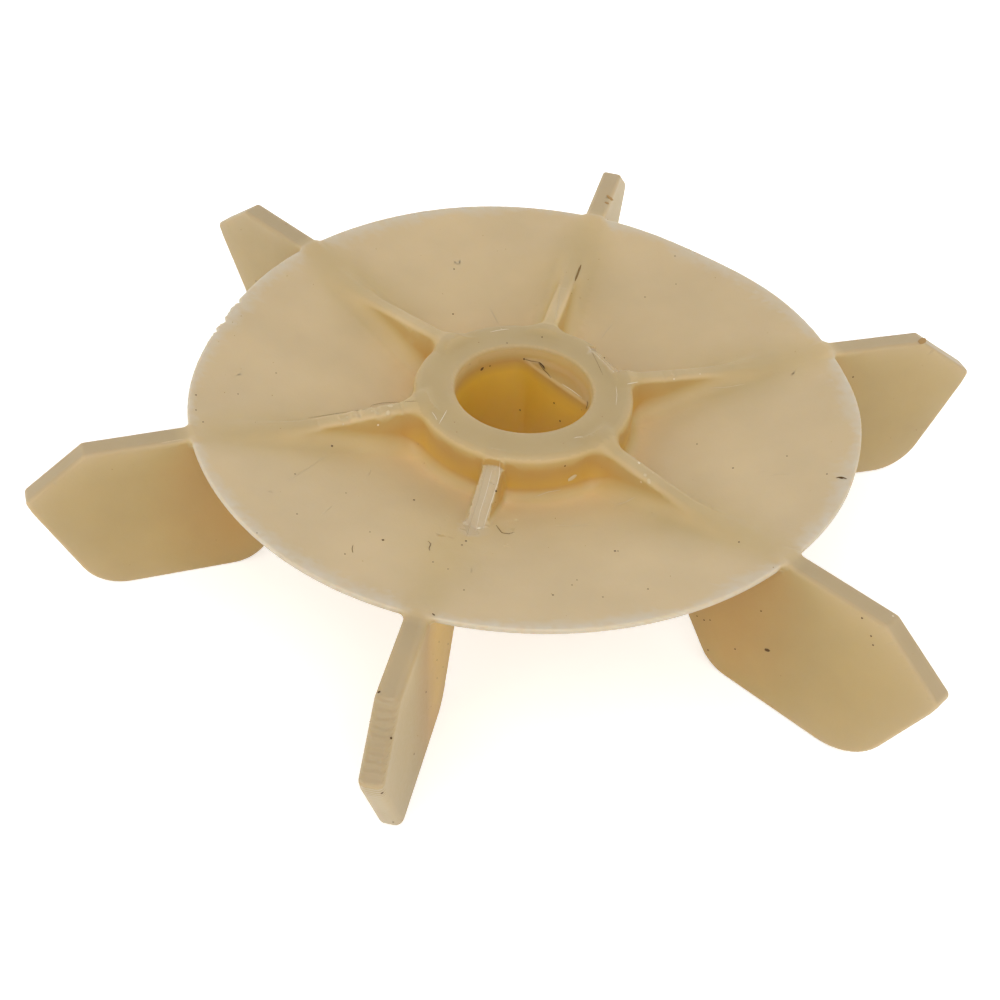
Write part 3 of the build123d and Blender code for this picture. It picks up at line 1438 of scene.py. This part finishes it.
class Mark(Enum):
    """What a mark is made of."""

    GRIT = Trace("dark_workshop_grit", "#5c4120", 0.9)
    STAIN = Trace("brown_oil_stain", "#a5814c", 0.7)
    # satin pale burrs, and painted reflections drawn in the same material
    BURR_AND_REFLECTION = Trace("raised_burr_and_painted_reflection", "#cbb68e", 0.5)
    # a painted highlight: pale, glossy and glowing a little
    GLINT = Trace("painted_glint_highlight", "#dccfb4", 0.15, 0.1)
    # brown lint, and a painted shade line drawn in the same material
    LINT_AND_SHADE_LINE = Trace("brown_lint_and_painted_shade_line", "#80622f", 0.8)


@dataclass(frozen=True)
class Spot:
    """A small mark where the camera sees it, across and down a frame of 1000. Sizes in mm."""

    across: float
    down: float
    size: float = 0.4
    stretch: float = 1.0
    turn: float = 0.0


@dataclass(frozen=True)
class Stroke:
    """A thin line over points where the camera sees them. The width is in mm."""

    width: float
    route: tuple[tuple[float, float], ...]


SPOTS: dict[Mark, tuple[Spot, ...]] = {
    Mark.GRIT: (
        # on the disc, from the back edge round to the front
        Spot(453, 314, 0.45), Spot(454, 269, 0.4), Spot(276, 373, 0.3), Spot(238, 394, 0.3),
        Spot(332, 446, 0.5), Spot(295, 474, 0.35), Spot(346, 493, 0.3), Spot(297, 514, 0.35),
        Spot(414, 500, 0.5), Spot(383, 540, 0.6), Spot(345, 554, 0.35), Spot(257, 533, 0.3),
        Spot(370, 532, 0.3), Spot(433, 562, 0.35), Spot(448, 569, 0.3), Spot(434, 615, 0.45),
        Spot(464, 590, 0.35), Spot(553, 595, 0.4), Spot(572, 585, 0.3), Spot(577, 580, 0.3),
        Spot(615, 551, 0.5), Spot(618, 551, 0.3), Spot(648, 589, 0.35), Spot(603, 597, 0.3),
        Spot(739, 542, 0.4), Spot(787, 456, 0.35), Spot(697, 444, 0.35), Spot(733, 468, 0.4),
        Spot(827, 474, 0.35), Spot(841, 478, 0.4, 2.5, 80), Spot(675, 256, 0.35),
        Spot(645, 297, 0.35), Spot(676, 284, 0.3), Spot(196, 395, 0.4), Spot(196, 410, 0.35),
        Spot(203, 422, 0.35),
        # on the hub and round the bore
        Spot(604, 358, 0.55), Spot(507, 343, 0.35), Spot(542, 337, 0.4), Spot(565, 466, 0.4),
        Spot(496, 491, 0.5), Spot(482, 369, 0.7, 1.6, 40), Spot(490, 366, 0.4),
        Spot(524, 359, 0.45), Spot(554, 403, 0.5), Spot(520, 410, 0.45), Spot(560, 421, 0.5),
        Spot(466, 541, 0.5), Spot(462, 545, 0.4),
        # on the blades
        Spot(379, 692, 0.6), Spot(391, 738, 0.5), Spot(382, 793, 0.6), Spot(393, 822, 0.5),
        Spot(426, 692, 0.5), Spot(414, 754, 0.5), Spot(433, 614, 0.4), Spot(439, 642, 0.35),
        Spot(448, 644, 0.4), Spot(437, 660, 0.35), Spot(443, 667, 0.35), Spot(437, 678, 0.35),
        Spot(697, 616, 0.35), Spot(704, 620, 0.4), Spot(710, 620, 0.35), Spot(708, 650, 0.4),
        Spot(735, 649, 0.4), Spot(761, 611, 0.4), Spot(767, 650, 0.75, 2.0, 30),
        Spot(862, 618, 0.45), Spot(871, 636, 0.4), Spot(873, 645, 0.4), Spot(853, 377, 0.45),
        Spot(256, 281, 0.4),
    ),
    Mark.STAIN: (
        Spot(922, 341, 1.6, 1.8, 20), Spot(610, 198, 1.2, 2.0, 80), Spot(607, 203, 0.9, 1.5, 80),
    ),
    # painted highlights: pale glossy specks that glow a little
    Mark.GLINT: (
        Spot(378, 425, 0.45), Spot(639, 463, 0.45, 1.8, 10), Spot(479, 528, 0.55, 1.6, 70),
        Spot(674, 379, 0.3, 1.6, 5), Spot(700, 374, 0.25, 1.6, 5), Spot(893, 616, 0.4),
    ),
    Mark.BURR_AND_REFLECTION: (
        Spot(390, 406, 1.0, 1.4, 80), Spot(388, 413, 0.9, 1.3, 80), Spot(372, 411, 0.6),
        Spot(347, 417, 0.6), Spot(343, 424, 0.5), Spot(645, 475, 0.8),
        Spot(649, 481, 0.7, 2.0, -40), Spot(641, 482, 0.5), Spot(653, 473, 0.5),
        Spot(572, 478, 1.1, 2.2, 30),
    ),
}

STROKES: dict[Mark, tuple[Stroke, ...]] = {
    Mark.GRIT: (
        Stroke(0.35, ((539, 362), (543, 366), (545, 369))),
        Stroke(0.3, ((836, 478), (841, 477), (847, 479))),
    ),
    Mark.LINT_AND_SHADE_LINE: (
        Stroke(0.5, ((575, 281), (578, 273), (581, 265))),
        Stroke(0.20, ((496, 525), (499, 529), (502, 533), (509, 534), (515, 532))),
        Stroke(0.16, ((353, 545), (352, 549), (353, 553))),
        Stroke(0.18, ((428, 541), (431, 544), (429, 548), (430, 551))),
        Stroke(0.22, ((538, 362), (541, 366), (544, 370), (548, 374), (551, 378))),
        Stroke(0.18, ((524, 359), (531, 361), (538, 362))),
        Stroke(0.30, ((587, 401), (588, 404), (586, 409))),
        # a painted shade line along a rib's upper edge
        Stroke(
            0.07,
            ((308, 418), (340, 413), (368, 409), (372, 405), (382, 403), (400, 402), (418, 401)),
        ),
        Stroke(0.08, ((591, 350), (595, 358), (598, 364), (603, 375))),
    ),
    Mark.BURR_AND_REFLECTION: (
        Stroke(0.12, ((768, 475), (779, 474), (790, 474))),
        Stroke(0.12, ((710, 388), (728, 387), (745, 384))),
        # painted reflections: two pale lines crossing between the hub and a rib
        Stroke(0.16, ((490, 308), (496, 319), (502, 330))),
        Stroke(0.14, ((555, 320), (558, 305), (560, 290))),
        Stroke(0.14, ((600, 340), (606, 332), (613, 323))),
        Stroke(0.12, ((287, 481), (307, 469), (327, 455))),
        Stroke(0.12, ((368, 477), (371, 469))),
        Stroke(0.12, ((320, 516), (333, 505))),
        Stroke(0.12, ((555, 525), (573, 526), (591, 524))),
        Stroke(0.14, ((537, 496), (548, 492), (561, 490))),
        Stroke(0.16, ((616, 505), (626, 502), (635, 497))),
        Stroke(0.14, ((161, 443), (172, 441), (184, 439))),
        Stroke(0.12, ((466, 537), (471, 520), (479, 495), (486, 466))),
    ),
    # painted highlights along edges and on the knife cut
    Mark.GLINT: (
        Stroke(0.16, ((447, 410), (443, 417), (439, 424))),
        Stroke(0.14, ((432, 412), (435, 416), (437, 420))),
        Stroke(0.16, ((500, 462), (499, 478), (494, 494), (488, 512), (483, 530))),
        Stroke(0.12, ((492, 470), (487, 490), (480, 512), (476, 531))),
        Stroke(0.14, ((490, 332), (500, 330), (509, 329))),
        Stroke(0.14, ((562, 384), (573, 391), (582, 398))),
        Stroke(0.22, ((627, 384), (633, 383), (638, 382))),
        Stroke(0.14, ((574, 438), (578, 437), (583, 437))),
        Stroke(0.12, ((636, 462), (640, 463), (645, 465))),
        Stroke(0.10, ((616, 386), (617, 395), (616, 405))),
    ),
}


@dataclass
class Marks:
    """Lays grit, stains, burrs, lint, painted highlights, painted reflections and painted shade
    lines on the skin where they are seen. Lengths in mm.
    """

    skin: Piece
    studio: Studio
    flatness: float = 0.25
    unevenness: float = 0.35
    lumps: float = 1.7  # of an uneven pebble, across its ball
    route_step: float = 3.0  # between the points of a stroke, in the frame's units
    bend_step: float = 0.5
    longest_step: float = 2.2  # a stroke breaks where the skin falls away by more
    tube_sides: int = 6
    taper_share: float = 0.2
    taper_end: float = 0.35
    dust_spacing: float = 5.5
    dust_thinning: float = 8.0
    dust_size: float = 0.16
    dust_spread: tuple[float, float] = (0.5, 1.6)
    seed: int = 5
    materials: dict[Mark, bpy.types.Material] = field(default_factory=dict)

    def __post_init__(self) -> None:
        """Makes ready to look from the camera onto the skin."""
        mesh = self.skin.data
        faces = [face.vertices[:] for face in mesh.polygons]
        self.tree = BVHTree.FromPolygons([vertex.co for vertex in mesh.vertices], faces)

    def landing(self, across: float, down: float) -> tuple[Vector, Vector]:
        """Where a line of sight meets the skin.

        Args:
            across: Place from the frame's left edge, in a frame of 1000.
            down: Place from the frame's top edge.

        Returns:
            The place in metres and the skin's normal there.
        """
        eye, turn = self.studio.pose()
        reach = self.studio.sensor / FRAME
        right, up = (across - FRAME / 2) * reach, (FRAME / 2 - down) * reach
        ray = turn @ Vector((right, up, -self.studio.lens))
        place, normal, _, _ = self.tree.ray_cast(eye, ray.normalized())
        if place is None:
            raise ValueError(f"nothing is seen at {across}, {down}")
        return place, normal

    def tree_for(self, name: str, inputs: dict[str, float]) -> tuple[Tree, Any, Any]:
        """Starts a node tree with named inputs.

        Args:
            name: The tree's name.
            inputs: Each size's name and value.

        Returns:
            The tree, its input node's outputs and its output node.
        """
        tree = bpy.data.node_groups.new(name, "GeometryNodeTree")
        shape = "NodeSocketGeometry"
        tree.interface.new_socket("Geometry", in_out="INPUT", socket_type=shape)
        for label, value in inputs.items():
            kind = "NodeSocketInt" if isinstance(value, int) else "NodeSocketFloat"
            entry = tree.interface.new_socket(label, in_out="INPUT", socket_type=kind)
            entry.default_value = value
        tree.interface.new_socket("Geometry", in_out="OUTPUT", socket_type=shape)
        given = tree.nodes.new("NodeGroupInput").outputs
        return tree, given, tree.nodes.new("NodeGroupOutput")

    def finished(self, mesh: bpy.types.Mesh, tree: Tree, name: str, inputs: dict) -> None:
        """Runs a tree on a mesh and keeps what it makes as a plain mesh that rides on the moulding.

        Args:
            mesh: What the tree starts from.
            tree: The tree.
            name: Name of the finished piece.
            inputs: The named inputs' values.
        """
        maker = add_object(f"{name}_maker", mesh)
        modifier = maker.modifiers.new("marks", "NODES")
        modifier.node_group = tree
        for item in tree.interface.items_tree:
            if item.in_out == "INPUT" and item.name in inputs:
                modifier[item.identifier] = inputs[item.name]
        graph = bpy.context.evaluated_depsgraph_get()
        made = bpy.data.meshes.new_from_object(maker.evaluated_get(graph), depsgraph=graph)
        maker.modifiers.clear()
        bpy.data.objects.remove(maker)
        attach(add_object(name, made), BODY)
        LOG.info("%s: %d faces", name, len(made.polygons))

    def dressed(self, tree: Tree, shape: Socket, mark: Mark) -> Socket:
        """Ends a tree: makes its instances real and gives them their material.

        Args:
            tree: The tree.
            shape: Socket with what the tree made.
            mark: What it is made of.

        Returns:
            The socket with the finished shape.
        """
        solid = add_node(tree, "GeometryNodeRealizeInstances", links={"Geometry": shape}).outputs[0]
        links = {"Geometry": solid, "Material": self.materials[mark]}
        return add_node(tree, "GeometryNodeSetMaterial", links=links).outputs[0]

    def pebbles(self, tree: Tree, given: Any, laid: dict[str, Any], mark: Mark) -> Socket:
        """Adds the nodes that put an uneven pebble on each point.

        Args:
            tree: The tree, which has inputs named Unevenness and Seed.
            given: Those inputs' sockets.
            laid: Sockets with the Points, and with each pebble's Rotation and Scale.
            mark: What the pebbles are made of.

        Returns:
            The socket with the finished pebbles.
        """
        ball = add_node(tree, "GeometryNodeMeshIcoSphere", links={"Radius": 0.5, "Subdivisions": 2})
        links = {"W": given["Seed"], "Scale": self.lumps}
        noise = add_node(tree, "ShaderNodeTexNoise", {"noise_dimensions": "4D"}, links)
        links = {0: noise.outputs["Color"], 1: (0.5, 0.5, 0.5)}
        noise = add_node(tree, "ShaderNodeVectorMath", {"operation": "SUBTRACT"}, links)
        links = {"Vector": noise.outputs[0], "Scale": given["Unevenness"]}
        noise = add_node(tree, "ShaderNodeVectorMath", {"operation": "SCALE"}, links)
        links = {"Geometry": ball.outputs["Mesh"], "Offset": noise.outputs[0]}
        rough = add_node(tree, "GeometryNodeSetPosition", links=links)
        links = {"Instance": rough.outputs[0], **laid}
        spread = add_node(tree, "GeometryNodeInstanceOnPoints", links=links)
        return self.dressed(tree, spread.outputs[0], mark)

    def spots(self, mark: Mark) -> None:
        """Lays the spots of one kind.

        Args:
            mark: The kind.
        """
        places, sizes, turns = [], [], []
        for spot in SPOTS.get(mark, ()):
            place, normal = self.landing(spot.across, spot.down)
            places.append(place)
            size = spot.size * MM
            sizes.append((size * spot.stretch, size, size * self.flatness))
            spin = Quaternion((0, 0, 1), math.radians(spot.turn))
            turns.append((normal.to_track_quat("Z", "Y") @ spin).to_euler())
        if not places:
            return
        kind = mark.name.lower()
        mesh = bpy.data.meshes.new(f"{kind}_points")
        mesh.from_pydata(places, [], [])
        inputs = {"Unevenness": self.unevenness, "Seed": self.seed}
        tree, given, result = self.tree_for(f"laid_{kind}", inputs)
        laid = {"Points": given["Geometry"]}
        for name, values in (("Rotation", turns), ("Scale", sizes)):
            layer = mesh.attributes.new(name.lower(), "FLOAT_VECTOR", "POINT")
            layer.data.foreach_set("vector", [number for value in values for number in value])
            links = {"Name": name.lower()}
            kept = add_node(tree, NAMED_ATTRIBUTE, {"data_type": "FLOAT_VECTOR"}, links)
            laid[name] = kept.outputs[0]
        tree.links.new(self.pebbles(tree, given, laid, mark), result.inputs[0])
        self.finished(mesh, tree, f"{kind}_spots", inputs)

    def route(self, stroke: Stroke) -> list[Vector]:
        """Follows a stroke over the skin.

        Args:
            stroke: The stroke.

        Returns:
            Places along it, in metres.
        """
        places = []
        for start, end in zip(stroke.route, stroke.route[1:]):
            count = max(2, round(math.dist(start, end) / self.route_step))
            for share in (part / count for part in range(count)):
                across, down = (a + (b - a) * share for a, b in zip(start, end))
                places.append(self.landing(across, down)[0])
        return [*places, self.landing(*stroke.route[-1])[0]]

    def strokes(self, mark: Mark) -> None:
        """Draws the lines of one kind as thin raised threads that follow the skin.

        Args:
            mark: The kind.
        """
        places, edges, widths = [], [], []
        for stroke in STROKES.get(mark, ()):
            first = len(places)
            places += self.route(stroke)
            edges += [
                (index, index + 1)
                for index in range(first, len(places) - 1)
                if (places[index + 1] - places[index]).length < self.longest_step * MM
            ]
            widths += [stroke.width / 2 * MM] * (len(places) - first)
        if not places:
            return
        kind = mark.name.lower()
        mesh = bpy.data.meshes.new(f"{kind}_routes")
        mesh.from_pydata(places, edges, [])
        layer = mesh.attributes.new("half_width", "FLOAT", "POINT")
        layer.data.foreach_set("value", widths)
        inputs = {"Bend Step": self.bend_step * MM, "Thickness": 1.0}
        tree, given, result = self.tree_for(f"drawn_{kind}", inputs)
        curve = add_node(tree, "GeometryNodeMeshToCurve", links={"Mesh": given["Geometry"]})
        half = add_node(tree, NAMED_ATTRIBUTE, {"data_type": "FLOAT"}, {"Name": "half_width"})
        along = add_node(tree, "GeometryNodeSplineParameter").outputs["Factor"]
        taper = add_node(tree, MATH, {"operation": "PINGPONG"}, {0: along, 1: 0.5}).outputs[0]
        links = {"Value": taper, "From Max": self.taper_share, "To Min": self.taper_end}
        ends = add_node(tree, MAP_RANGE, links=links).outputs["Result"]
        thick = half.outputs[0]
        for factor in (ends, given["Thickness"]):
            thick = add_node(tree, MATH, MULTIPLY, {0: thick, 1: factor}).outputs[0]
        links = {"Curve": curve.outputs[0], "Length": given["Bend Step"]}
        fine = add_node(tree, "GeometryNodeResampleCurve", {"mode": "LENGTH"}, links)
        links = {"Resolution": self.tube_sides, "Radius": 1.0}
        ring = add_node(tree, "GeometryNodeCurvePrimitiveCircle", links=links)
        links = {"Curve": fine.outputs[0], "Profile Curve": ring.outputs[0], "Scale": thick}
        tube = add_node(tree, "GeometryNodeCurveToMesh", links={**links, "Fill Caps": True})
        tree.links.new(self.dressed(tree, tube.outputs[0], mark), result.inputs[0])
        self.finished(mesh, tree, f"{kind}_strokes", inputs)

    def dust(self) -> None:
        """Strews a few fine grains over the whole moulding."""
        inputs = {
            "Grains Per Area": 1 / (self.dust_spacing * MM) ** 2 / self.dust_thinning,
            "Grain": self.dust_size * MM,
            "Unevenness": self.unevenness,
            "Seed": self.seed,
        }
        tree, given, result = self.tree_for("strewn_dust", inputs)
        seed = {"Seed": given["Seed"]}
        links = {"Mesh": given["Geometry"], "Density": given["Grains Per Area"], **seed}
        strewn = add_node(tree, "GeometryNodeDistributePointsOnFaces", links=links).outputs
        least, most = self.dust_spread
        links = {2: least, 3: most, **seed}
        spread = add_node(tree, "FunctionNodeRandomValue", {"data_type": "FLOAT"}, links)
        size = add_node(tree, MATH, MULTIPLY, {0: spread.outputs[1], 1: given["Grain"]})
        laid = {
            "Points": strewn["Points"],
            "Rotation": strewn["Rotation"],
            "Scale": size.outputs[0],
        }
        tree.links.new(self.pebbles(tree, given, laid, Mark.STAIN), result.inputs[0])
        self.finished(self.skin.data, tree, "dust", inputs)

    def lay(self) -> None:
        """Lays every mark."""
        self.materials = {mark: mark.value.build() for mark in Mark}
        for mark in Mark:
            self.spots(mark)
            self.strokes(mark)
        self.dust()


def main() -> None:
    """Builds each piece in turn."""
    logging.basicConfig(level=logging.INFO, format="%(name)s: %(message)s")
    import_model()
    skin = Skin(Moulding()).build()
    skin.data.materials.append(CastPolyamide().build())
    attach(skin, BODY)
    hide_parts(NODE)
    LOG.info("skin: %d faces", len(skin.data.polygons))
    studio = Studio()
    Marks(skin, studio).lay()
    studio.camera()
    studio.floor()
    studio.light()
    bpy.context.scene.view_settings.view_transform = "Standard"


if __name__ == "__main__":
    main()
